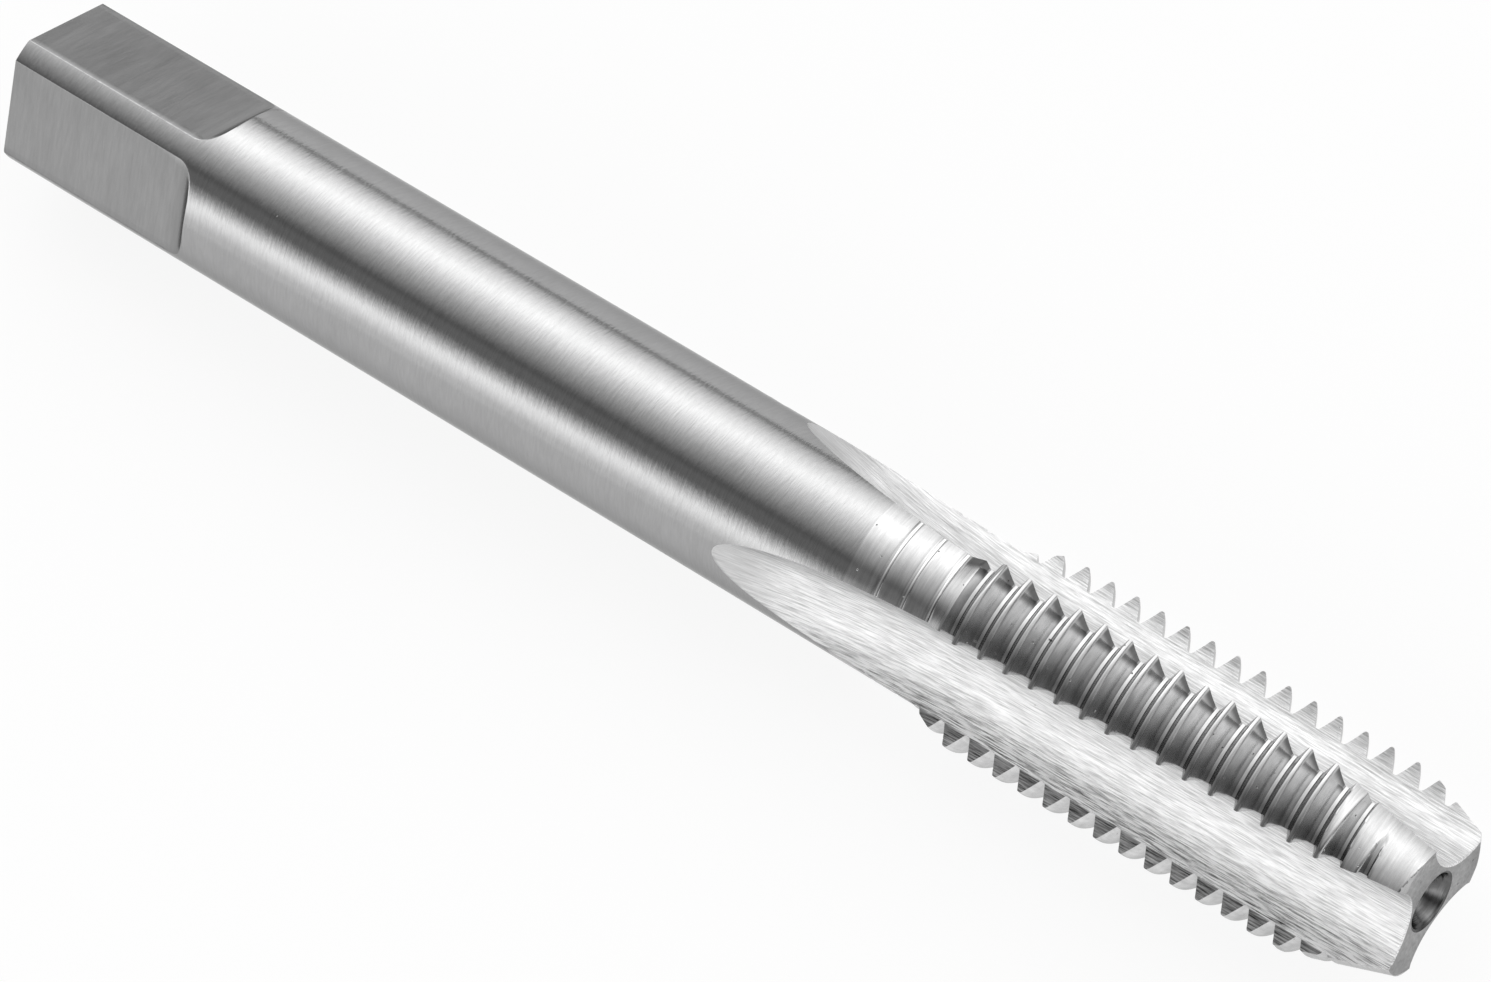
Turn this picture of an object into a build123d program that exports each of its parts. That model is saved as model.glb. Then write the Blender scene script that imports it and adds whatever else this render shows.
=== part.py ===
from build123d import *
from math import acos, atan2, ceil, cos, degrees, hypot, radians, sin, tan
import os

# Straight-flute hand tap, ground from one bar of high-speed steel. Sizes in mm, angles in degrees.
# It is modelled with its axis on X, from the square end at x = 0 to the cutting tip, and with angles
# about the axis counted from +Y towards +Z. At the end it is laid on z = 0, with its first land on
# top and the origin on the ground below the middle of its length.

# Shank
overall_length = 73.4
shank_diameter = 7.9
shank_end_chamfer = 0.2

# Driving square
square_across_flats = 6.3
square_length = 9.5
square_run_out_radius = 0.9
square_turn = -38.7

# Thread. The run-in starts it between two lands, so that no cutter ends in the steel
major_diameter = 9.58
minor_diameter = 7.84
pitch = 1.27
thread_angle = 55.0
crest_flat = 0.17
thread_length = 23.2
thread_run_in = 3.27
thread_turn_at_tip = 213.0
back_chamfer_angle = 18.0

# Lead, where each land falls away towards the tip and behind its cutting edge
tip_diameter = 7.5
lead_angle = 18.0
lead_relief = 0.65
tip_bevel_diameter = 6.7
tip_bevel_angle = 63.0

# Flutes
flute_count = 3
first_land_angle = 90.0
web_at_tip = 3.2
web_taper_angle = 1.15
flute_full_length = 18.8
flute_wheel_radius = 65.5
flute_face_radius = 2.55
flute_heel_radius = 3.55
flute_offset = 0.39

# Centre holes in both ends
centre_mouth_diameter = 2.65
centre_pilot_diameter = 1.25
centre_depth = 3.0
centre_cone_angle = 60.0
centre_drill_angle = 118.0

# How far the cutters reach past the steel
over_cut = 1.0

shank_radius = shank_diameter / 2
major_radius = major_diameter / 2
minor_radius = minor_diameter / 2
thread_start = overall_length - thread_length
land_spacing = 360.0 / flute_count
land_angles = [first_land_angle + land_spacing * i for i in range(flute_count)]
flute_angles = [angle + land_spacing / 2 for angle in land_angles]


def turned_blank():
    """Bar turned to the shank, the back chamfer, the thread's outside and the bevelled tip."""
    bevel_radius = tip_bevel_diameter / 2
    bevel_length = (major_radius - bevel_radius) / tan(radians(tip_bevel_angle))
    chamfer_length = (major_radius - shank_radius) / tan(radians(back_chamfer_angle))
    outline = Polyline(
        (0, 0),
        (0, shank_radius - shank_end_chamfer),
        (shank_end_chamfer, shank_radius),
        (thread_start, shank_radius),
        (thread_start + chamfer_length, major_radius),
        (overall_length - bevel_length, major_radius),
        (overall_length, bevel_radius),
        (overall_length, 0),
        close=True,
    )
    return revolve(make_face(outline), Axis.X)


def thread_turns():
    """Helical groove of the thread, one cutter for each two turns. The first turns only score the shank."""
    flank_slope = tan(radians(thread_angle / 2))
    outer_radius = major_radius + crest_flat / 4
    outer_half = (pitch - crest_flat) / 2 + (outer_radius - major_radius) * flank_slope
    root_half = outer_half - (outer_radius - minor_radius) * flank_slope
    section = make_face(Polyline(
        (minor_radius, 0, -root_half),
        (minor_radius, 0, root_half),
        (outer_radius, 0, outer_half),
        (outer_radius, 0, -outer_half),
        close=True,
    ))
    step = 2 * pitch
    two_turns = sweep(section, path=Helix(pitch, step, minor_radius), is_frenet=True)
    start = thread_start - thread_run_in
    run = overall_length - start
    start_angle = thread_turn_at_tip - 360 * run / pitch
    turns = []
    for i in range(ceil(run / step) + 1):
        place = Plane(origin=(start + i * step, 0, 0), x_dir=(0, 1, 0), z_dir=(1, 0, 0))
        turns.append(Rot(X=start_angle) * (place * two_turns))
    return turns


def flute_section():
    """Section of a flute, from its lowest point at the origin: a tight arc below the cutting face,
    a wider one below the heel, and straight sides clear of the thread."""
    top = major_radius + over_cut
    face_side = flute_offset + flute_face_radius
    heel_side = flute_offset - flute_heel_radius
    face_arc = RadiusArc((flute_offset, 0), (face_side, flute_face_radius), -flute_face_radius)
    heel_arc = RadiusArc((flute_offset, 0), (heel_side, flute_heel_radius), flute_heel_radius)
    sides = Polyline(
        (face_side, flute_face_radius), (face_side, top), (heel_side, top), (heel_side, flute_heel_radius)
    )
    return make_face([face_arc, sides, heel_arc])


def flute_cutter(angle):
    """A flute as its wheel grinds it: straight and slightly deeper at the tip, then an arc that
    climbs out of the shank."""
    taper = radians(web_taper_angle)
    full_start = overall_length - flute_full_length
    low_radius = web_at_tip / 2 + flute_full_length * tan(taper)
    lowest = Vector(full_start, 0, low_radius)
    along = Vector(cos(taper), 0, -sin(taper))
    outward = Vector(sin(taper), 0, cos(taper))
    section = Plane(origin=lowest, x_dir=(0, 1, 0), z_dir=along) * flute_section()
    straight = extrude(section, (flute_full_length + over_cut) / cos(taper), dir=along)
    climb = shank_radius + over_cut / 4 - low_radius
    swing = degrees(acos(1 - climb / flute_wheel_radius))
    wheel_axis = Axis(lowest + outward * flute_wheel_radius, (0, 1, 0))
    run_out = revolve(section, wheel_axis, swing)
    return Rot(X=angle - 90) * (straight + run_out)


def cutting_edge_angle():
    """Angle from a land's middle to its cutting edge, at the thread's outside near the tip."""
    centre_out = web_at_tip / 2 + flute_face_radius
    centre = hypot(centre_out, flute_offset)
    spread = acos((centre**2 + major_radius**2 - flute_face_radius**2) / (2 * centre * major_radius))
    return land_spacing / 2 - degrees(spread + atan2(flute_offset, centre_out))


def lead_cutter(angle):
    """What the lead's grinding takes off one land: all that stands outside a cone whose axis is
    shifted towards the cutting edge."""
    slope = tan(radians(lead_angle))
    shift = lead_relief
    cone_at_tip = tip_diameter / 2 - shift * sin(radians(cutting_edge_angle()))
    reach = (major_radius + 2 * shift - cone_at_tip) / slope
    back = overall_length - reach
    front = overall_length + over_cut
    outside = major_radius + 2 * shift + over_cut
    ring = revolve(make_face(Polyline(
        (back, cone_at_tip + reach * slope),
        (front, cone_at_tip - over_cut * slope),
        (front, outside),
        (back, outside),
        close=True,
    )), Axis.X)
    over_land = Pos((back + front) / 2, 0, outside) * Box(front - back, major_radius, 2 * major_radius)
    return Rot(X=angle - 90) * ((Pos(Y=-shift) * ring) & over_land)


def square_cutter(angle):
    """What one flat of the driving square takes off, with the wheel's round corner at its end."""
    flat = square_across_flats / 2
    corner_end = square_length + square_run_out_radius
    top = shank_radius + over_cut
    outline = [
        Line((-over_cut, flat), (square_length, flat)),
        RadiusArc((square_length, flat), (corner_end, flat + square_run_out_radius), -square_run_out_radius),
        Polyline(
            (corner_end, flat + square_run_out_radius), (corner_end, top), (-over_cut, top), (-over_cut, flat)
        ),
    ]
    side = Plane(origin=(0, 0, 0), x_dir=(1, 0, 0), z_dir=(0, -1, 0))
    return Rot(X=angle - 90) * extrude(side * make_face(outline), shank_radius, both=True)


def centre_hole():
    """Centre-drilled hole that opens at x = 0: cone, pilot and drill point."""
    mouth = centre_mouth_diameter / 2
    pilot = centre_pilot_diameter / 2
    cone_end = (mouth - pilot) / tan(radians(centre_cone_angle / 2))
    point = pilot / tan(radians(centre_drill_angle / 2))
    outline = Polyline(
        (0, 0), (0, mouth), (cone_end, pilot), (centre_depth - point, pilot), (centre_depth, 0), close=True
    )
    return revolve(make_face(outline), Axis.X)


def hand_tap():
    """The tap as one solid: turned and centred, then its square, flutes, lead and thread are cut."""
    body = turned_blank()
    body = body - [centre_hole(), Pos(X=overall_length) * Rot(Z=180) * centre_hole()]
    body = body - [square_cutter(first_land_angle + square_turn + 90 * i) for i in range(4)]
    body = body - [flute_cutter(angle) for angle in flute_angles]
    body = body - [lead_cutter(angle) for angle in land_angles]
    body = body - thread_turns()
    return Pos(-overall_length / 2, 0, shank_radius) * body


tap = hand_tap()
tap.label = "hand_tap"
os.makedirs("parts", exist_ok=True)
export_step(tap, "parts/hand_tap.step")
print("hand_tap", len(tap.solids()), "solid,", round(tap.volume, 1), "mm3, valid", tap.is_valid)
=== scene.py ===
import bpy
from math import cos, pi, radians, sin, tan
from types import SimpleNamespace
from mathutils import Matrix, Vector


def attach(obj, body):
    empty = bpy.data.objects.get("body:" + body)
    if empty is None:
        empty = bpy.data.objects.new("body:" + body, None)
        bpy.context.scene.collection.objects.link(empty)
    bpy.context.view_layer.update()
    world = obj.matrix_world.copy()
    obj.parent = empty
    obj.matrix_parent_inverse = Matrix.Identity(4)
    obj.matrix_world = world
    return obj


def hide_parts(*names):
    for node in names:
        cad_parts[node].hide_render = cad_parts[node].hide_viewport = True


# A straight-flute hand tap in ground high-speed steel, photographed on white. The tap's skin is a
# Geometry Nodes tree with its sizes as inputs, and each way of grinding it has a steel of its own.

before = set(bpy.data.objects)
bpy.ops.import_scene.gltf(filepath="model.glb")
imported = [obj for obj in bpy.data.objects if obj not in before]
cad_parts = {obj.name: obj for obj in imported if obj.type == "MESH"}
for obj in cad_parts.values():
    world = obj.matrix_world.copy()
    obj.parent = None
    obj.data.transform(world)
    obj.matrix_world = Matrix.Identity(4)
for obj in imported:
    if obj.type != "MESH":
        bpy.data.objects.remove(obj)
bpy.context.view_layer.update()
print("frame loaded")

mm = 0.001
turn = 2 * pi
toRadians = pi / 180

# The tap's sizes in mm and degrees. They are the part's, but the back chamfer, the square's corner and
# its end chamfer are nearer to the photo, and 3 microns less over the thread keeps every crest in the
# part's box. Angles count from +Y towards +Z.
tap = {
    "length": 73.4,
    "shankRadius": 3.95,
    "endChamfer": 0.05,
    "squareFlat": 3.15,
    "squareLength": 9.5,
    "squareCorner": 1.5,
    "squareTurn": 51.3,
    "majorRadius": 4.787,
    "minorRadius": 3.92,
    "pitch": 1.27,
    "threadAngle": 55.0,
    "crestFlat": 0.17,
    "threadLength": 23.2,
    "threadRunIn": 3.27,
    "threadTurn": 213.0,
    "backChamfer": 25.0,
    "tipRadius": 3.75,
    "leadAngle": 18.0,
    "leadRelief": 0.65,
    "bevelRadius": 3.35,
    "bevelAngle": 63.0,
    "firstLand": 90.0,
    "edgeAngle": 22.5,     # from a land's middle to its cutting edge
    "web": 1.6,
    "webTaper": 1.15,
    "fluteLength": 18.8,
    "wheelRadius": 65.5,
    "faceRadius": 2.55,
    "heelRadius": 3.55,
    "fluteOffset": 0.39,
    "centreMouth": 1.325,
    "centrePilot": 0.625,
    "centreDepth": 3.0,
    "centreCone": 60.0,
    "centreDrill": 118.0,
    # Finer than the part: broken edges, rounded teeth, score lines behind the thread, burr at the tip
    "edgeBreak": 0.05,
    "holeRim": 0.08,
    "squareBreak": 0.045,
    "squareSharp": 0.012,
    "crestRound": 0.12,
    "scoreDepth": 0.06,
    "burr": 0.06,
}

# How finely the skin is divided, in columns round the tap and rows along it, and in mm. Rows to a
# pitch is a multiple of three, so that all lands match.
skin = {
    "landColumns": 24,
    "faceColumns": 10,
    "heelColumns": 10,
    "flatColumns": 14,
    "faceRows": 3,
    "squareRows": 6,
    "cornerRows": 12,
    "shankRows": 26,
    "runOutRows": 34,
    "rowsPerPitch": 24,
    "wideShare": 0.3,      # most of a flat's half that its broken edges may take
    "narrowShare": 0.1,
    "evenOver": 5.0,       # columns even out behind the square, and gather before the flutes
    "gatherOver": 6.0,
    "shankEase": 0.4,      # how much the shank's rows crowd at both its ends
    "runOutCrowd": 1.4,
    "threadFrom": 46.0,    # rows follow the thread from here, and crowd at its corners from there on
    "crowdFrom": 47.5,
    "squareUp": 0.5,       # and turn square to the tip at the end
    "toothSteps": (1.0, 4.0),
    "rootGap": 0.08,
    "crestGap": 0.072,
    "rootShare": 0.2,      # most of a tooth's depth that its roundings may take
    "crestShare": 0.3,
    "weldGap": 0.002,
    "creaseAngle": 34.0,
}


class Value:
    # A node's output with Python's operators, so that an expression builds its own nodes
    def __init__(self, maker, socket):
        self.maker, self.socket = maker, socket

    def __add__(self, other): return self.maker.math("ADD", self, other)
    def __radd__(self, other): return self.maker.math("ADD", other, self)
    def __sub__(self, other): return self.maker.math("SUBTRACT", self, other)
    def __rsub__(self, other): return self.maker.math("SUBTRACT", other, self)
    def __mul__(self, other): return self.maker.math("MULTIPLY", self, other)
    def __rmul__(self, other): return self.maker.math("MULTIPLY", other, self)
    def __truediv__(self, other): return self.maker.math("DIVIDE", self, other)
    def __rtruediv__(self, other): return self.maker.math("DIVIDE", other, self)
    def __pow__(self, other): return self.maker.math("POWER", self, other)
    def __neg__(self): return self.maker.math("MULTIPLY", self, -1.0)
    def __lt__(self, other): return self.maker.math("LESS_THAN", self, other)
    def __gt__(self, other): return self.maker.math("GREATER_THAN", self, other)


class NodeMaker:
    # Adds nodes to one tree. A node's settings are set before its sockets
    def __init__(self, tree):
        self.tree = tree

    def add(self, kind, settings=None, sockets=None):
        node = self.tree.nodes.new(kind)
        for name, setting in (settings or {}).items():
            if name == "stops":
                self.setStops(node.color_ramp, setting)
            else:
                setattr(node, name, setting)
        for name, given in (sockets or {}).items():
            self.put(self.find(node.inputs, name), given)
        return lambda name=0: Value(self, self.find(node.outputs, name))

    def find(self, sockets, name):
        if isinstance(name, int):
            return sockets[name]
        return next(s for s in sockets if name in (s.identifier, s.name) and s.enabled)

    def put(self, socket, given):
        if isinstance(given, (list, tuple)) and socket.is_multi_input:
            for one in reversed(given):
                self.tree.links.new(one.socket, socket)
        elif isinstance(given, Value):
            self.tree.links.new(given.socket, socket)
        else:
            socket.default_value = given

    def group(self, name, given, build):
        # A formula as a node group, built on its first use: build takes its inputs, gives its outputs
        tree = bpy.data.node_groups.get(name)
        if tree is None:
            tree = bpy.data.node_groups.new(name, "GeometryNodeTree")
            for key in given:
                tree.interface.new_socket(key, in_out="INPUT", socket_type="NodeSocketFloat")
            inner = NodeMaker(tree)
            start = inner.add("NodeGroupInput")
            results = build(inner, SimpleNamespace(**{key: start(key) for key in given}))
            for key in results:
                tree.interface.new_socket(key, in_out="OUTPUT", socket_type="NodeSocketFloat")
            inner.add("NodeGroupOutput", {}, results)
        return self.add("GeometryNodeGroup", {"node_tree": tree}, given)

    def setStops(self, ramp, stops):
        while len(ramp.elements) < len(stops):
            ramp.elements.new(1.0)
        for element, (place, level) in zip(ramp.elements, stops):
            element.position, element.color = place, (level, level, level, 1.0)

    def math(self, operation, *given):
        # Numbers alone are worked out in Python
        if not any(isinstance(one, Value) for one in given):
            return {"SINE": sin, "COSINE": cos, "TANGENT": tan}[operation](*given)
        return self.add("ShaderNodeMath", {"operation": operation}, dict(enumerate(given)))()

    def sin(self, angle): return self.math("SINE", angle)
    def cos(self, angle): return self.math("COSINE", angle)
    def tan(self, angle): return self.math("TANGENT", angle)
    def acos(self, ratio): return self.math("ARCCOSINE", self.least(ratio, 1.0))
    def atan2(self, up, across): return self.math("ARCTAN2", up, across)
    def sqrt(self, number): return self.math("SQRT", number)
    def floor(self, number): return self.math("FLOOR", number)
    def round(self, number): return self.math("ROUND", number)
    def sign(self, number): return self.math("SIGN", number)
    def absolute(self, number): return self.math("ABSOLUTE", number)
    def least(self, one, other): return self.math("MINIMUM", one, other)
    def most(self, one, other): return self.math("MAXIMUM", one, other)

    def share(self, number, start=0.0, end=1.0):
        return self.add("ShaderNodeMapRange", {},
                        {"Value": number, "From Min": start, "From Max": end})()

    def ease(self, number, start=0.0, end=1.0):
        return self.add("ShaderNodeMapRange", {"interpolation_type": "SMOOTHSTEP"},
                        {"Value": number, "From Min": start, "From Max": end})()

    def between(self, one, other, share):
        return one + (other - one) * share

    def pick(self, condition, yes, no):
        return no + (yes - no) * condition

    def along(self, step, steps, stations):
        # Goes from station to station as the step passes the given steps
        value = stations[0]
        for i in range(len(steps) - 1):
            passed = self.share(step, steps[i], steps[i + 1])
            value = value + (stations[i + 1] - stations[i]) * passed
        return value


def wheelCentre(make, size):
    # Centre of the arc that a flute's wheel leaves where it climbs out: its X and its radius
    taper = size.webTaper * toRadians
    return (size.length - size.fluteLength + size.wheelRadius * make.sin(taper),
            size.web + size.fluteLength * make.tan(taper) + size.wheelRadius * make.cos(taper))


def fluteFloor(make, size, x):
    # Radius of a flute's floor at x: slightly deeper towards the tip, and behind it the wheel's arc
    wheelX, wheelOut = wheelCentre(make, size)
    climb = wheelOut - make.sqrt(size.wheelRadius ** 2 - (wheelX - x) ** 2)
    straight = size.web + (size.length - x) * make.tan(size.webTaper * toRadians)
    return make.pick(x < size.length - size.fluteLength, climb, straight)


def swing(make, size, floor, arc, radius):
    # How far round its arc a flute wall meets a radius, counted from the line to the tap's axis
    centre = make.sqrt((floor + arc) ** 2 + size.fluteOffset ** 2)
    return make.acos((centre ** 2 + arc ** 2 - radius ** 2) / (2 * centre * arc))


def heelSpot(make, size, floor, radius, share):
    # A point on the heel's arc, outward and sideways in the flute's own frame. Share 1 is at the radius
    deepest = make.atan2(size.fluteOffset, floor + size.heelRadius)
    angle = deepest + share * swing(make, size, floor, size.heelRadius, radius)
    return (floor + size.heelRadius * (1 - make.cos(angle)),
            size.heelRadius * make.sin(angle) - size.fluteOffset)


def faceSpot(make, size, floor, radius, share):
    # The same on the cutting side, which starts on the heel's arc and runs on to the face's arc
    offset, face, heel = size.fluteOffset, size.faceRadius, size.heelRadius
    deepest = make.atan2(offset, floor + heel)
    onFace = make.most(swing(make, size, floor, face, radius) - make.atan2(offset, floor + face), 0.0)
    reach = make.least(heel * swing(make, size, floor, heel, radius), heel * deepest + face * onFace)
    heelAngle = deepest - reach * share / heel
    faceAngle = (reach * share - heel * deepest) / face
    onHeel = faceAngle < 0.0
    out = make.pick(onHeel, heel * (1 - make.cos(heelAngle)), face * (1 - make.cos(faceAngle)))
    side = make.pick(onHeel, heel * make.sin(heelAngle), -face * make.sin(faceAngle))
    return floor + out, side - offset


def edgeTurn(make, size):
    # Angle from a land's middle to its heel or its cutting edge, at an x and a radius
    floor = fluteFloor(make, size, size.x)
    heelOut, heelSide = heelSpot(make, size, floor, size.radius, 1.0)
    faceOut, faceSide = faceSpot(make, size, floor, size.radius, 1.0)
    toHeel = make.atan2(heelSide, heelOut) - turn / 6
    toFace = make.atan2(faceSide, faceOut) + turn / 6
    return {"turn": make.pick(size.isHeel, toHeel, toFace)}


def flankSlope(make, size):
    return make.tan(size.threadAngle * (toRadians / 2))


def rootHalf(make, size):
    depth = size.majorRadius - size.minorRadius
    return (size.pitch - size.crestFlat) / 2 - depth * flankSlope(make, size)


def grooveAside(make, size, x, angle):
    # How far a point is along the tap from the middle of the thread's nearest groove
    count = (x - size.length) / size.pitch - (angle - size.threadTurn * toRadians) / turn
    return (count - make.round(count)) * size.pitch


def landRadius(make, size):
    # Radius of a land's surface: the turned blank, ground away for the lead, then the thread's groove
    fromTip = size.length - size.x
    threadStart = size.length - size.threadLength
    back = (size.shankRadius
            + make.most(size.x - threadStart, 0.0) * make.tan(size.backChamfer * toRadians))
    tipCone = (size.tipRadius - size.leadRelief * make.sin(size.edgeAngle * toRadians)
               + fromTip * make.tan(size.leadAngle * toRadians))
    lead = (size.leadRelief * make.sin(size.fromLand)
            + make.sqrt(tipCone ** 2 - (size.leadRelief * make.cos(size.fromLand)) ** 2))
    bevel = size.bevelRadius + fromTip * make.tan(size.bevelAngle * toRadians)
    blank = make.least(make.least(back, size.majorRadius), make.least(lead, bevel))

    aside = grooveAside(make, size, size.x, size.angle)
    root = make.pick(size.x < threadStart, size.shankRadius - size.scoreDepth, size.minorRadius)
    depth = make.most(blank - root, 0.0)
    flank = root + (make.absolute(aside) - rootHalf(make, size)) / flankSlope(make, size)
    rootRound = make.least(size.edgeBreak, depth * skin["rootShare"])
    crestRound = make.least(size.crestRound, depth * skin["crestShare"])
    uncut = size.x - aside < threadStart - size.threadRunIn  # lifts the groove clear of the blank
    groove = make.math("SMOOTH_MAX", flank, root, rootRound) + uncut
    return {"radius": make.math("SMOOTH_MIN", blank, groove, crestRound)}


class TapSkin:
    # The nodes of the tap's skin. Each part of it is a tube of faces, placed by its rows and columns
    def __init__(self, make, given):
        self.make = make
        self.sizes = {name: given(name) for name in tap}
        self.size = size = SimpleNamespace(**self.sizes)
        self.firstLand = size.firstLand * toRadians

        # Each point's row and column, or each face's, from its index. All tubes have the same columns
        self.perLand = skin["landColumns"] + skin["faceColumns"] + skin["heelColumns"]
        self.columns = 3 * self.perLand
        self.perQuarter = self.columns // 4
        index = make.add("GeometryNodeInputIndex")()
        self.row = make.floor((index + 0.5) / self.columns)
        self.column = index - self.row * self.columns
        self.land = make.floor((self.column + 0.5) / self.perLand)
        self.landStep = self.column - self.land * self.perLand
        self.quarter = make.floor((self.column + 0.5) / self.perQuarter)
        self.quarterStep = self.column - self.quarter * self.perQuarter

        # How far round the square's end corner sweeps, and where a flute comes out of the shank
        self.sweep = make.acos(1 - (size.shankRadius - size.squareFlat) / size.squareCorner)
        reach = make.sqrt((size.shankRadius + size.heelRadius) ** 2 - size.fluteOffset ** 2)
        wheelX, wheelOut = wheelCentre(make, size)
        drop = wheelOut - (reach - size.heelRadius)
        self.breakX = wheelX - make.sqrt(size.wheelRadius ** 2 - drop ** 2)
        self.breakTurn = make.atan2(size.fluteOffset, reach)

        # Centre hole, from its bottom to its mouth
        coneSlope = make.tan(size.centreCone * (toRadians / 2))
        drillPoint = size.centrePilot / make.tan(size.centreDrill * (toRadians / 2))
        self.holeSteps = [0, 2, 4, 6, 7]
        self.holeDepths = [size.centreDepth, size.centreDepth - drillPoint,
                           (size.centreMouth - size.centrePilot) / coneSlope, size.edgeBreak, 0.0]
        self.holeRadii = [0.0, size.centrePilot, size.centrePilot,
                          size.centreMouth - size.edgeBreak * coneSlope,
                          size.centreMouth + size.holeRim]

    def tube(self, rows, x, radius, angle):
        # A tube of rows + 1 rings, with every point put in its place
        make = self.make
        mesh = make.add("GeometryNodeMeshCylinder", {"fill_type": "NONE"},
                        {"Vertices": self.columns, "Side Segments": rows})("Mesh")
        spot = make.add("ShaderNodeCombineXYZ", {},
                        {"X": radius * make.cos(angle), "Y": radius * make.sin(angle), "Z": x})()
        return make.add("GeometryNodeSetPosition", {}, {"Geometry": mesh, "Position": spot})()

    def mark(self, mesh, name, where=None):
        # Notes by its number the steel of every face, or of those that the condition picks
        sockets = {"Geometry": mesh, "Name": "steel", "Value": numberOf(name)}
        if where is not None:
            sockets["Selection"] = where
        return self.make.add("GeometryNodeStoreNamedAttribute",
                             {"data_type": "FLOAT", "domain": "FACE"}, sockets)()

    def squareSpot(self, flat, outer):
        # Angle and radius round the square: flats at the given distance, corners on the outer radius.
        # A narrow face breaks each edge, wider where the wheel left the flat
        make, size, step, flatColumns = self.make, self.size, self.quarterStep, skin["flatColumns"]
        onFlat = make.share(step, 0.0, flatColumns)
        half = make.sqrt(make.most(outer ** 2 - flat ** 2, 0.0))
        wide = make.least(size.squareBreak, half * skin["wideShare"])
        narrow = make.least(size.squareSharp, half * skin["narrowShare"])
        across = make.between(narrow - half, half - wide, onFlat)
        edge = make.atan2(half, flat)
        onCorner = make.share(step, flatColumns + 1.0, self.perQuarter - 1.0)
        cornerAngle = make.between(edge + wide / outer, turn / 4 - edge - narrow / outer, onCorner)
        isFlat = step < flatColumns + 0.5
        angle = make.pick(isFlat, make.atan2(across, flat), cornerAngle)
        radius = make.pick(isFlat, make.sqrt(across ** 2 + flat ** 2), outer)
        return size.squareTurn * toRadians + self.quarter * (turn / 4) + angle, radius

    def drivingEnd(self):
        # Hole, end face, and the square with its run-out
        make, size, row, step = self.make, self.size, self.row, self.quarterStep
        angle, outline = self.squareSpot(size.squareFlat - size.squareBreak,
                                         size.shankRadius - size.endChamfer)
        hole = self.tube(self.holeSteps[-1], make.along(row, self.holeSteps, self.holeDepths),
                         make.along(row, self.holeSteps, self.holeRadii), angle)
        reach = make.between(size.centreMouth + size.holeRim, outline, row / skin["faceRows"])
        face = self.tube(skin["faceRows"], 0.0, reach, angle)

        cornerStart = 2 + skin["squareRows"]
        cornerEnd = cornerStart + skin["cornerRows"]
        bend = make.share(row, cornerStart, cornerEnd) * self.sweep
        x = make.along(row, [0, 1, 2, cornerStart],
                       [0.0, size.squareBreak, size.endChamfer, size.squareLength])
        flat = (size.squareFlat - make.most(size.squareBreak - x, 0.0)
                + size.squareCorner * (1 - make.cos(bend)))
        outer = size.shankRadius - make.most(size.endChamfer - x, 0.0)
        angle, radius = self.squareSpot(flat, outer)
        square = self.tube(cornerEnd, x + size.squareCorner * make.sin(bend), radius, angle)
        isCorner = (step > skin["flatColumns"] + 0.5) * (step < self.perQuarter - 1.5)
        square = self.mark(square, "edgeSteel")
        square = self.mark(square, "squareSteel", step < skin["flatColumns"] - 0.5)
        square = self.mark(square, "shankSteel", isCorner * (row > 1.5))
        return [self.mark(hole, "centreSteelPaintedShade"), self.mark(face, "faceSteel"), square]

    def shank(self):
        # Its columns leave the square's corners, even out, then gather where the flutes start
        make, size, radius = self.make, self.size, self.size.shankRadius
        share = self.row / skin["shankRows"]
        start = size.squareLength + size.squareCorner * make.sin(self.sweep)
        x = make.between(start, self.breakX, make.between(share, make.ease(share), skin["shankEase"]))
        first = self.firstLand - turn / 6 - self.breakTurn
        squareEnd = self.squareSpot(radius, radius)[0]
        evened = first + self.column * (turn / self.columns)
        onLand = make.share(self.landStep, 0.0, skin["landColumns"])
        gathered = first + (self.land + onLand) * (turn / 3)
        early = make.ease(x, start, start + skin["evenOver"])
        late = make.ease(x, self.breakX - skin["gatherOver"], self.breakX)
        angle = make.between(make.between(squareEnd, evened, early), gathered, late)
        return self.mark(self.tube(skin["shankRows"], x, radius, angle), "shankSteel")

    def cuttingPart(self):
        # Lands and flutes, where a row keeps to one height of the tooth on each land
        make, size, length, pitch = self.make, self.size, self.size.length, self.size.pitch
        columns, perLand, perPitch = self.columns, self.perLand, skin["rowsPerPitch"]
        landColumns, runOutRows = skin["landColumns"], skin["runOutRows"]
        row, land, step = self.row, self.land, self.landStep
        landAngle = self.firstLand + land * (turn / 3)
        offTurn = (tap["firstLand"] - tap["threadTurn"]) / 360
        firstRow = int(perPitch * ((skin["threadFrom"] - tap["length"]) / tap["pitch"] - offTurn))
        lastRow = int(-perPitch * offTurn) + 1
        threadRow = make.most(row - runOutRows, 0.0) + firstRow
        offThread = (self.firstLand - size.threadTurn * toRadians) / turn
        threadX = length + pitch * (offThread + threadRow / perPitch)
        outShare = make.share(row, 0.0, runOutRows)
        rowX = make.between(self.breakX, threadX, outShare ** skin["runOutCrowd"])
        rowX = make.least(rowX, length)
        nearTip = make.share(length - rowX, 0.0, skin["squareUp"])
        follow = make.ease(outShare) * nearTip

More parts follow.
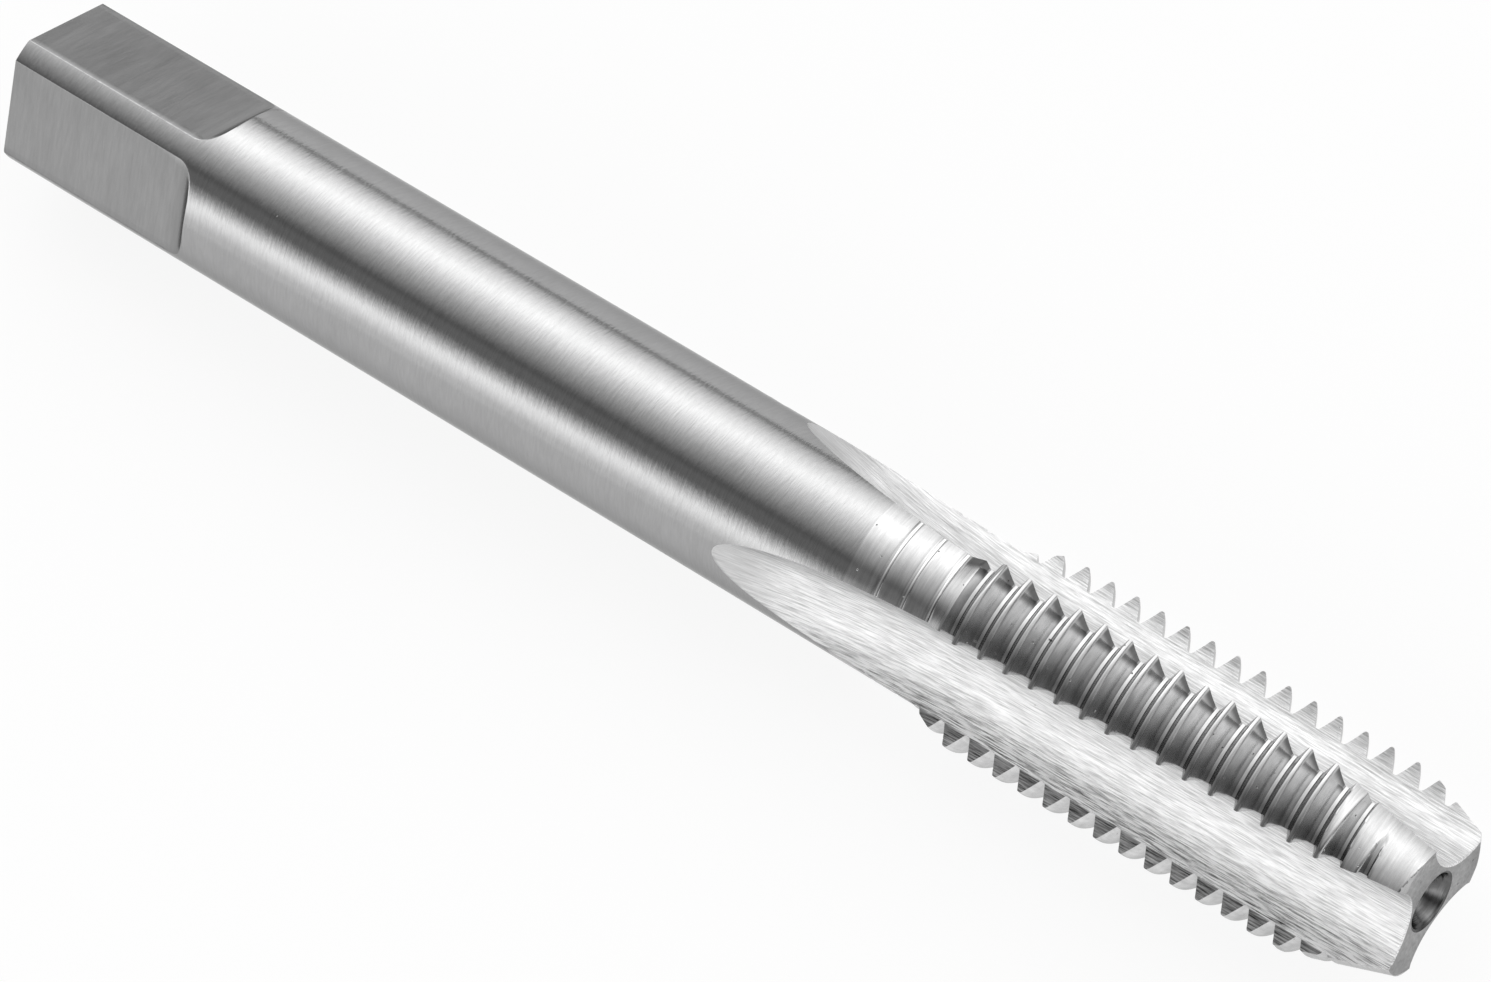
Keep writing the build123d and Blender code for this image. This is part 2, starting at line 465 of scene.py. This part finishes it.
        # Rows crowd at the corners of the tooth's root and crest
        aside = grooveAside(make, size, rowX, landAngle)
        fromRoot, half = make.absolute(aside), perPitch / 2
        near, far = skin["toothSteps"]
        root, crest = rootHalf(make, size), (pitch - size.crestFlat) / 2
        wanted = make.along(fromRoot * perPitch / pitch,
                            [0.0, near, far, half - far, half - near, half],
                            [0.0, root - skin["rootGap"], root + skin["rootGap"],
                             crest - skin["rootGap"], crest + skin["crestGap"], pitch / 2])
        crowding = make.share(rowX, skin["threadFrom"], skin["crowdFrom"]) * nearTip
        shift = make.sign(aside) * (wanted - fromRoot) * crowding

        def onThread(fromLand):
            return make.least(rowX + follow * pitch * fromLand / turn + shift, length)

        def radiusAt(x, fromLand):
            given = {**self.sizes, "x": x, "angle": landAngle + fromLand, "fromLand": fromLand}
            return make.group("landRadius", given, landRadius)("radius")

        def edgeAt(x, radius):
            given = {**self.sizes, "x": x, "radius": radius, "isHeel": step < 0.5}
            return make.group("edgeTurn", given, edgeTurn)("turn")

        # Where a row meets its land's edge, the heel in a land's first column and the cutting edge in
        # the rest. Each try starts from the radius that the last one found
        edgeX, edgeRadius = rowX, size.shankRadius
        fromLand = edgeAt(edgeX, edgeRadius)
        for attempt in range(2):
            edgeX = onThread(fromLand)
            edgeRadius = radiusAt(edgeX, fromLand)
            fromLand = edgeAt(edgeX, edgeRadius)

        # The other columns read their two edges. A quarter keeps each index clear of the one below
        heelPoint = row * columns + land * perLand + 0.25
        cutPoint = heelPoint + landColumns
        nextPoint = heelPoint + perLand - (land > 1.5) * columns

        def at(point, value):
            return make.add("GeometryNodeFieldAtIndex", {}, {"Value": value, "Index": point})()

        heelTurn, cutTurn = at(heelPoint, fromLand), at(cutPoint, fromLand)
        cutX, nextX = at(cutPoint, edgeX), at(nextPoint, edgeX)
        cutRadius, nextRadius = at(cutPoint, edgeRadius), at(nextPoint, edgeRadius)

        fromLand = make.between(heelTurn, cutTurn, make.share(step, 0.0, landColumns))
        landX = onThread(fromLand)
        onLandRadius = radiusAt(landX, fromLand)

        bottom = landColumns + skin["faceColumns"]
        fluteX = make.between(cutX, nextX, make.share(step, landColumns, perLand))
        burr = size.burr * make.share(fluteX, length - size.burr, length)
        floor = fluteFloor(make, size, fluteX) - burr
        faceShare, heelShare = make.share(step, landColumns, bottom), make.share(step, bottom, perLand)
        faceOut, faceSide = faceSpot(make, size, floor, cutRadius, 1 - faceShare)
        heelOut, heelSide = heelSpot(make, size, floor, nextRadius, heelShare)
        onFace = step < bottom + 0.5
        wallOut, wallSide = make.pick(onFace, faceOut, heelOut), make.pick(onFace, faceSide, heelSide)
        wallAngle = landAngle + turn / 6 + make.atan2(wallSide, wallOut)

        isLand = step < landColumns + 0.5
        x = make.pick(isLand, landX, fluteX)
        radius = make.pick(isLand, onLandRadius, make.sqrt(wallOut ** 2 + wallSide ** 2))
        angle = make.pick(isLand, landAngle + fromLand, wallAngle)
        isLandFace = step < landColumns - 0.5
        cut = self.tube(runOutRows + lastRow - firstRow, x, radius, angle)
        cut = self.mark(self.mark(cut, "fluteSteel"), "threadSteel", isLandFace)
        return self.mark(cut, "shankSteel", isLandFace * (row < runOutRows - 0.5))

    def tipHole(self):
        make, rows = self.make, self.holeSteps[-1]
        depth = make.along(rows - self.row, self.holeSteps, self.holeDepths)
        radius = make.along(rows - self.row, self.holeSteps, self.holeRadii)
        angle = self.firstLand + self.column * (turn / self.columns)
        return self.mark(self.tube(rows, self.size.length - depth, radius, angle), "centreSteelPaintedShade")

    def weld(self, meshes):
        joined = self.make.add("GeometryNodeJoinGeometry", {}, {"Geometry": meshes})()
        return self.make.add("GeometryNodeMergeByDistance", {},
                             {"Geometry": joined, "Distance": skin["weldGap"]})()

    def closed(self):
        # All parts in one skin, and the tip's face filled between its outline and the hole
        make = self.make
        whole = self.weld([*self.drivingEnd(), self.shank(), self.cuttingPart(), self.tipHole()])
        whole = make.add("GeometryNodeFlipFaces", {}, {"Mesh": whole})()
        faces = make.add("GeometryNodeInputMeshEdgeNeighbors")()
        outline = make.add("GeometryNodeMeshToCurve", {}, {"Mesh": whole, "Selection": faces < 1.5})()
        fill = make.add("GeometryNodeFillCurve", {}, {"Curve": outline})()
        toTip = make.add("ShaderNodeCombineXYZ", {}, {"Z": self.size.length})()
        fill = make.add("GeometryNodeSetPosition", {}, {"Geometry": fill, "Offset": toTip})()
        return self.weld([whole, self.mark(fill, "faceSteel")])

    def laidDown(self, whole):
        # On the ground along X, in metres
        make, size = self.make, self.size
        self.spot = make.add("ShaderNodeSeparateXYZ", {}, {0: make.add("GeometryNodeInputPosition")()})
        laid = make.add("ShaderNodeCombineXYZ", {}, {
            "X": (self.spot("Z") - size.length / 2) * mm, "Y": self.spot("X") * mm,
            "Z": (self.spot("Y") + size.shankRadius) * mm})()
        whole = make.add("GeometryNodeSetPosition", {}, {"Geometry": whole, "Position": laid})()
        return make.add("GeometryNodeSetShadeSmooth", {}, {"Geometry": whole})()

    def isSteel(self, name):
        number = self.make.add("GeometryNodeInputNamedAttribute", {"data_type": "FLOAT"},
                               {"Name": "steel"})()
        isThis = self.make.absolute(number - numberOf(name)) < 0.5
        return self.make.add("GeometryNodeFieldOnDomain", {"domain": "FACE"}, {"Value": isThis})()

    def shaded(self, whole):
        # Sharp where a flute cuts in or the skin turns a corner. The round steel shades as a true
        # cylinder and the flats as true planes
        make, size, spot = self.make, self.size, self.spot
        inFlute = self.isSteel("fluteSteel")
        bent = make.add("GeometryNodeInputMeshEdgeAngle")()
        isSharp = (bent > radians(skin["creaseAngle"])) + (inFlute > 0.25) * (inFlute < 0.75)
        whole = make.add("GeometryNodeSetMeshNormal", {},
                         {"Mesh": whole, "Edge Sharpness": isSharp > 0.5})()

        normal = make.add("GeometryNodeInputNormal")
        plane = make.add("GeometryNodeFieldOnDomain", {"domain": "FACE", "data_type": "FLOAT_VECTOR"},
                         {"Value": normal("True Normal")})()
        outward = make.add("ShaderNodeCombineXYZ", {},
                           {"Y": spot("Y"), "Z": spot("Z") - size.shankRadius * mm})()
        outward = make.add("ShaderNodeVectorMath", {"operation": "NORMALIZE"}, {0: outward})()
        onSquare = spot("X") < (size.squareLength - size.length / 2) * mm
        onSquare = make.add("GeometryNodeFieldOnDomain", {"domain": "FACE"}, {"Value": onSquare})()
        isPlane = onSquare * self.isSteel("squareSteel") > 0.5
        wanted = make.add("GeometryNodeSwitch", {"input_type": "VECTOR"},
                          {"Switch": isPlane, "False": normal("Normal"), "True": plane})()
        wanted = make.add("GeometryNodeSwitch", {"input_type": "VECTOR"}, {
            "Switch": self.isSteel("shankSteel") > 0.5, "False": wanted, "True": outward})()
        return make.add("GeometryNodeSetMeshNormal", {"mode": "FREE", "domain": "CORNER"},
                        {"Mesh": whole, "Custom Normal": wanted})()


def numberOf(name):
    return float(list(looks).index(name))


def makeTapTree():
    tree = bpy.data.node_groups.new("tapSkin", "GeometryNodeTree")
    make = NodeMaker(tree)
    tree.interface.new_socket("Geometry", in_out="OUTPUT", socket_type="NodeSocketGeometry")
    for name in tap:
        tree.interface.new_socket(name, in_out="INPUT", socket_type="NodeSocketFloat")
    for name in looks:
        tree.interface.new_socket(name, in_out="INPUT", socket_type="NodeSocketMaterial")
    given = make.add("NodeGroupInput")
    tapSkin = TapSkin(make, given)
    whole = tapSkin.shaded(tapSkin.laidDown(tapSkin.closed()))
    whole = make.add("GeometryNodeRealizeInstances", {}, {"Geometry": whole})()
    for name in looks:
        whole = make.add("GeometryNodeSetMaterial", {}, {
            "Geometry": whole, "Selection": tapSkin.isSteel(name), "Material": given(name)})()
    make.add("NodeGroupOutput", {}, {"Geometry": whole})
    return tree


def makeTap(steels):
    holder = bpy.data.objects.new("tapSkinMaker", bpy.data.meshes.new("tapSkinMaker"))
    bpy.context.scene.collection.objects.link(holder)
    modifier = holder.modifiers.new("tapSkin", "NODES")
    modifier.node_group = makeTapTree()
    for item in modifier.node_group.interface.items_tree:
        if item.in_out == "INPUT":
            modifier[item.identifier] = steels[item.name] if item.name in steels else tap[item.name]
    view = bpy.context.evaluated_depsgraph_get()
    mesh = bpy.data.meshes.new_from_object(holder.evaluated_get(view), preserve_all_data_layers=True,
                                           depsgraph=view)
    holder.modifiers.remove(modifier)
    bpy.data.objects.remove(holder)
    body = bpy.data.objects.new("tap_body", mesh)
    bpy.context.scene.collection.objects.link(body)
    return body


# How each way of grinding leaves the steel. Grain, streaks and cloud are noise cells to the mm: along
# the tap, then across. Shades are how much they change the colour, and depths are in mm. Pits are also
# cells to the mm, and their size is in mm.
looks = {
    "shankSteel": {
        "colour": 0.38, "roughness": 0.13, "lay": "round",
        "grain": (9.0, 1.3), "grainShade": 0.06, "grainDepth": 0.0032,
        "streaks": (3.0, 0.3), "streakShade": 0.02, "streakDepth": 0.0018,
        "cloud": 0.4, "cloudShade": 0.03, "pits": 0.5, "pitSize": 0.03,
    },
    "squareSteel": {
        "colour": 0.29, "roughness": 0.24, "lay": "flat",
        "grain": (7.0, 0.8), "grainShade": 0.07, "grainDepth": 0.0010,
        "streaks": (2.0, 0.2), "streakShade": 0.03, "streakDepth": 0.0008,
        "cloud": 0.3, "cloudShade": 0.05, "pits": 0.3, "pitSize": 0.02,
    },
    "fluteSteel": {
        "colour": 0.84, "roughness": 0.50, "lay": "flute",
        "grain": (0.9, 16.0), "grainShade": 0.42, "grainDepth": 0.004,
        "streaks": (0.3, 3.0), "streakShade": 0.02, "streakDepth": 0.002,
        "cloud": 0.5, "cloudShade": 0.04, "pits": 0.8, "pitSize": 0.03,
    },
    "threadSteel": {
        "colour": 0.48, "roughness": 0.17, "lay": "thread",
        "grain": (8.0, 0.6), "grainShade": 0.14, "grainDepth": 0.0010,
        "streaks": (1.2, 0.6), "streakShade": 0.05, "streakDepth": 0.0015,
        "cloud": 1.2, "cloudShade": 0.09, "pits": 1.6, "pitSize": 0.035,
    },
    "faceSteel": {
        "colour": 0.40, "roughness": 0.36, "lay": "flat",
        "grain": (0.5, 7.0), "grainShade": 0.20, "grainDepth": 0.003,
        "streaks": (0.3, 2.6), "streakShade": 0.15, "streakDepth": 0.004,
        "cloud": 0.9, "cloudShade": 0.09, "pits": 1.6, "pitSize": 0.04,
    },
    # Its dark colour is painted shade inside the centre holes, and its strong streaks are painted
    # glints
    "centreSteelPaintedShade": {
        "colour": 0.12, "roughness": 0.20, "lay": "flat",
        "grain": (9.0, 0.5), "grainShade": 0.30, "grainDepth": 0.006,
        "streaks": (2.5, 0.4), "streakShade": 0.40, "streakDepth": 0.012,
        "cloud": 1.5, "cloudShade": 0.30, "pits": 1.0, "pitSize": 0.03,
    },
    "edgeSteel": {
        "colour": 0.28, "roughness": 0.22, "lay": "flat",
        "grain": (9.0, 0.9), "grainShade": 0.10, "grainDepth": 0.002,
        "streaks": (2.0, 0.5), "streakShade": 0.20, "streakDepth": 0.004,
        "cloud": 1.0, "cloudShade": 0.10, "pits": 1.0, "pitSize": 0.03,
    },
}

# What all the steels share
finish = {
    "edgeTint": 0.6,
    "warmth": 0.998,             # of red and green beside blue
    "darkest": 0.02,
    "noiseRange": (0.25, 0.75),
    "noiseRoughness": 0.6,
    "grainDetail": 3.0,
    "streakDetail": 2.0,
    "streakRoughness": 0.15,
    "pitEdge": (0.5, 1.5),       # shares of a pit's size
    "pitShade": 0.45,
    "pitDepth": 0.02,
    "pitRoughness": 0.2,
}

# Wear and painted light in the flutes, in mm: greyer and smoother where the wheel ran out, speckled up
# the heel wall, painted shade up the cutting face, painted shade on the teeth's heel ends and painted
# light on their cutting ends
fluteWearAndPaintedLight = {
    "runOutFrom": 41.0, "runOutTo": 44.0, "runOutShade": 0.74, "runOutGrain": 0.45,
    "wallFrom": 1.1, "wallTo": 2.4, "wallShade": 0.92, "wallGrain": 3.0,
    "faceFrom": 0.8, "faceTo": 1.6, "facePaintedShade": 0.76,
    "toothFrom": 3.9, "toothTo": 4.02, "heelPaintedShade": 0.32, "cutPaintedLight": 1.08,
}

# Painted light on the thread, in mm and degrees: painted shade on the upper land's flanks at their heel
# ends up to the lead, the lower lands painted lighter, and a painted highlight in the score lines
# behind the thread
threadPaintedLight = {
    "heelFrom": 16.5, "heelTo": 21.5, "heelPaintedShade": 0.3, "leadStart": 69.05,
    "rootRadius": (3.94, 4.0), "crestRadius": (4.64, 4.74),
    "lowFrom": -1.5, "lowTo": 0.5, "lowPaintedLight": 1.6,
    "scoreTo": 49.9, "scoreDepth": (0.012, 0.03), "scoreWidth": (0.015, 0.045), "scorePaintedHighlight": 1.9,
}


def layOf(make, kind):
    # Where a point lies by the grinding marks, in mm: along the tap, then two ways across
    size = SimpleNamespace(**tap)
    spot = make.add("ShaderNodeSeparateXYZ", {}, {0: make.add("ShaderNodeTexCoord")("Object")})
    x = spot("X") / mm + size.length / 2
    y, z = spot("Y") / mm, spot("Z") / mm - size.shankRadius
    reach, angle, third = make.sqrt(y ** 2 + z ** 2), make.atan2(z, y), turn / 3
    lay = SimpleNamespace(x=x, y=y, z=z, reach=reach)
    if kind == "thread":
        lay.x = x - angle * (size.pitch / turn)
        lay.aside = grooveAside(make, size, x, angle)
        fromLand = angle - size.firstLand * toRadians
        lay.fromLand = (fromLand - make.round(fromLand / third) * third) / toRadians
    if kind == "flute":
        fromFlute = angle - (size.firstLand * toRadians - third / 2)
        fromFlute = fromFlute - make.round(fromFlute / third) * third
        lay.y = reach * make.sin(fromFlute)
        lay.z = reach * make.cos(fromFlute) - fluteFloor(make, size, x)
    return lay


def left(amount, share):
    # 1 where there is none of the mark, and its share where there is all of it. The marks are wear,
    # pits and painted light
    return 1 - amount * (1 - share)


def paintedFluteWearAndLight(make, lay):
    # How much is left of the colour, and of the grain's strength
    onWall = make.ease(lay.y, fluteWearAndPaintedLight["wallFrom"], fluteWearAndPaintedLight["wallTo"])
    # onFace masks the painted shade up the cutting face
    onFace = make.ease(-lay.y, fluteWearAndPaintedLight["faceFrom"], fluteWearAndPaintedLight["faceTo"])
    # onTooth masks painted shade on the teeth's heel ends and painted light on their cutting ends
    onTooth = make.ease(lay.reach, fluteWearAndPaintedLight["toothFrom"], fluteWearAndPaintedLight["toothTo"])
    ranOut = 1 - make.ease(lay.x, fluteWearAndPaintedLight["runOutFrom"], fluteWearAndPaintedLight["runOutTo"])
    toothPaintedLight = make.pick(lay.y > 0.0, fluteWearAndPaintedLight["heelPaintedShade"], fluteWearAndPaintedLight["cutPaintedLight"])
    shade = (left(onWall, fluteWearAndPaintedLight["wallShade"]) * left(onFace, fluteWearAndPaintedLight["facePaintedShade"])
             * left(onTooth, toothPaintedLight) * left(ranOut, fluteWearAndPaintedLight["runOutShade"]))
    return shade, left(onWall, fluteWearAndPaintedLight["wallGrain"]) * left(ranOut, fluteWearAndPaintedLight["runOutGrain"])


def paintedThreadLight(make, lay):
    # Painted light by height on the lying tap: lower lands painted lighter, painted shade at the upper
    # land's heel ends
    isLow = make.ease(-lay.z, threadPaintedLight["lowFrom"], threadPaintedLight["lowTo"])
    onFlank = make.ease(lay.reach, *threadPaintedLight["rootRadius"])
    onFlank = onFlank * (1 - make.ease(lay.reach, *threadPaintedLight["crestRadius"]))
    atHeel = make.ease(-lay.fromLand, threadPaintedLight["heelFrom"], threadPaintedLight["heelTo"]) * onFlank
    atHeel = atHeel * (lay.x < threadPaintedLight["leadStart"]) * (1 - isLow)
    # inScore masks a painted highlight along the floor of the score lines
    inScore = make.ease(tap["shankRadius"] - lay.reach, *threadPaintedLight["scoreDepth"])
    inScore = inScore * (lay.x < threadPaintedLight["scoreTo"])
    inScore = inScore * (1 - make.ease(make.absolute(lay.aside), *threadPaintedLight["scoreWidth"]))
    return (left(atHeel, threadPaintedLight["heelPaintedShade"]) * left(isLow, threadPaintedLight["lowPaintedLight"])
            * left(inScore, threadPaintedLight["scorePaintedHighlight"]))


def groundSteel(name, look):
    material = bpy.data.materials.new(name)
    material.use_nodes = True
    make = NodeMaker(material.node_tree)
    shader = material.node_tree.nodes["Principled BSDF"]
    lay = layOf(make, look["lay"])

    def cells(along, across):
        return make.add("ShaderNodeCombineXYZ", {}, {
            "X": lay.x * along, "Y": lay.y * across, "Z": lay.z * across})()

    def noise(along, across, detail):
        # From -1 to 1
        level = make.add("ShaderNodeTexNoise", {}, {
            "Vector": cells(along, across), "Scale": 1.0, "Detail": detail,
            "Roughness": finish["noiseRoughness"]})("Fac")
        return make.share(level, *finish["noiseRange"]) * 2 - 1

    grain = noise(*look["grain"], finish["grainDetail"])
    streaks = noise(*look["streaks"], finish["streakDetail"])
    cloud = noise(look["cloud"], look["cloud"], finish["streakDetail"])
    grainShade, shade = look["grainShade"], 1.0
    # In the flutes the shade carries painted shade and painted light as well as wear
    if look["lay"] == "flute":
        shade, strength = paintedFluteWearAndLight(make, lay)
        grainShade = grainShade * strength
    # On the thread the shade is painted light: painted shade, lighter lower lands and a painted
    # highlight in the score lines
    if look["lay"] == "thread":
        shade = paintedThreadLight(make, lay)
    shade = shade * (1 + grain * grainShade + streaks * look["streakShade"]
                     + cloud * look["cloudShade"])

    # A few small pits, each in a cell of its own
    voronoi = make.add("ShaderNodeTexVoronoi", {},
                       {"Vector": cells(look["pits"], look["pits"]), "Scale": 1.0})
    pitFrom, pitTo = (share * look["pitSize"] * look["pits"] for share in finish["pitEdge"])
    pit = 1 - make.ease(voronoi("Distance"), pitFrom, pitTo)

    level = look["colour"] * shade * left(pit, finish["pitShade"])
    level = make.least(make.most(level, finish["darkest"]), 1.0)
    colour = make.add("ShaderNodeCombineColor", {}, {
        "Red": level * finish["warmth"], "Green": level * finish["warmth"], "Blue": level})()
    height = grain * look["grainDepth"] + streaks * look["streakDepth"] - pit * finish["pitDepth"]
    bump = make.add("ShaderNodeBump", {}, {"Strength": 1.0, "Distance": 1.0, "Height": height * mm})()
    roughness = (look["roughness"] * (1 + finish["streakRoughness"] * streaks)
                 + pit * finish["pitRoughness"])
    make.put(shader.inputs["Base Color"], colour)
    make.put(shader.inputs["Roughness"], roughness)
    make.put(shader.inputs["Normal"], bump)
    shader.inputs["Metallic"].default_value = 1.0
    shader.inputs["Specular Tint"].default_value = (*[finish["edgeTint"]] * 3, 1.0)
    return material


steels = {name: groundSteel(name, look) for name, look in looks.items()}
print("steels made")

body = makeTap(steels)
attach(body, "root")
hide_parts("hand_tap")
print("tap made:", len(body.data.vertices), "points")

# Studio, in mm and degrees. The light is laid out by its angle round the tap: 0 is level on +Y, 90
# overhead, 180 level on -Y. Along the tap it is two rows of lights: how much is left at each X of a
# direction.
studio = {
    "cameraPlace": (125.28, -55.79, 268.14),
    "lookAt": (1.90, 0.04, 3.95),
    "cameraRoll": 32.22,
    "lens": 172.3,
    "sensor": 36.0,
    "clip": (10.0, 100000.0),
    "floorHalf": 20000.0,
    "floorColour": 0.90,
    "floorWhite": 0.88,
    "brightest": 2.9,
    "light": [(0, 0.09), (4, 0.16), (10, 0.36), (25, 0.66), (42, 0.93), (50, 0.90), (65, 0.61),
              (81, 0.33), (95, 0.18), (103, 0.10), (108, 0.06), (114, 0.095), (124, 0.09),
              (131, 0.22), (147, 0.73), (154, 0.70), (170, 0.42), (180, 0.42)],
    "rows": [(-1.0, 0.45), (-0.8, 1.0), (-0.42, 0.95), (-0.1, 0.65), (0.1, 0.65), (0.42, 0.95),
             (0.75, 0.85), (1.0, 0.2)],
}


def makeCamera():
    camera = bpy.data.objects.new("camera", bpy.data.cameras.new("camera"))
    bpy.context.scene.collection.objects.link(camera)
    place, target = Vector(studio["cameraPlace"]) * mm, Vector(studio["lookAt"]) * mm
    aim = (target - place).to_track_quat("-Z", "Y")
    camera.matrix_world = (Matrix.Translation(place) @ aim.to_matrix().to_4x4()
                           @ Matrix.Rotation(-radians(studio["cameraRoll"]), 4, "Z"))
    camera.data.sensor_width, camera.data.lens = studio["sensor"], studio["lens"]
    camera.data.clip_start, camera.data.clip_end = (end * mm for end in studio["clip"])
    bpy.context.scene.camera = camera


def makeFloor():
    half = studio["floorHalf"] * mm
    mesh = bpy.data.meshes.new("floor")
    corners = [(-half, -half, 0), (half, -half, 0), (half, half, 0), (-half, half, 0)]
    mesh.from_pydata(corners, [], [(0, 1, 2, 3)])
    floor = bpy.data.objects.new("floor", mesh)
    bpy.context.scene.collection.objects.link(floor)
    material = bpy.data.materials.new("floorPaper")
    material.use_nodes = True
    make = NodeMaker(material.node_tree)
    path = make.add("ShaderNodeLightPath")
    seen = make.most(path("Is Camera Ray"), path("Is Glossy Ray"))
    seen = make.most(seen, path("Is Transmission Ray"))
    colour = (*[studio["floorColour"]] * 3, 1.0)
    paper = make.add("ShaderNodeBsdfDiffuse", {}, {"Color": colour})()
    white = make.add("ShaderNodeEmission", {}, {"Strength": 1.0})()
    both = make.add("ShaderNodeMixShader", {}, {0: seen * studio["floorWhite"], 1: paper, 2: white})()
    make.put(material.node_tree.nodes["Material Output"].inputs["Surface"], both)
    mesh.materials.append(material)


def makeLight():
    world = bpy.data.worlds.new("studio")
    bpy.context.scene.world = world
    world.use_nodes = True
    make = NodeMaker(world.node_tree)
    way = make.add("ShaderNodeSeparateXYZ", {}, {0: make.add("ShaderNodeTexCoord")("Generated")})
    angle = make.atan2(make.most(way("Z"), 0.0), way("Y")) / pi
    stops = [(place / 180, level) for place, level in studio["light"]]
    level = make.add("ShaderNodeValToRGB", {"stops": stops}, {"Fac": angle})("Color")
    stops = [((place + 1) / 2, share) for place, share in studio["rows"]]
    row = make.add("ShaderNodeValToRGB", {"stops": stops}, {"Fac": (way("X") + 1) / 2})("Color")
    background = world.node_tree.nodes["Background"]
    make.put(background.inputs["Color"], level)
    make.put(background.inputs["Strength"], row * studio["brightest"])


makeCamera()
makeFloor()
makeLight()
bpy.context.scene.view_settings.view_transform = "Standard"
print("studio made")
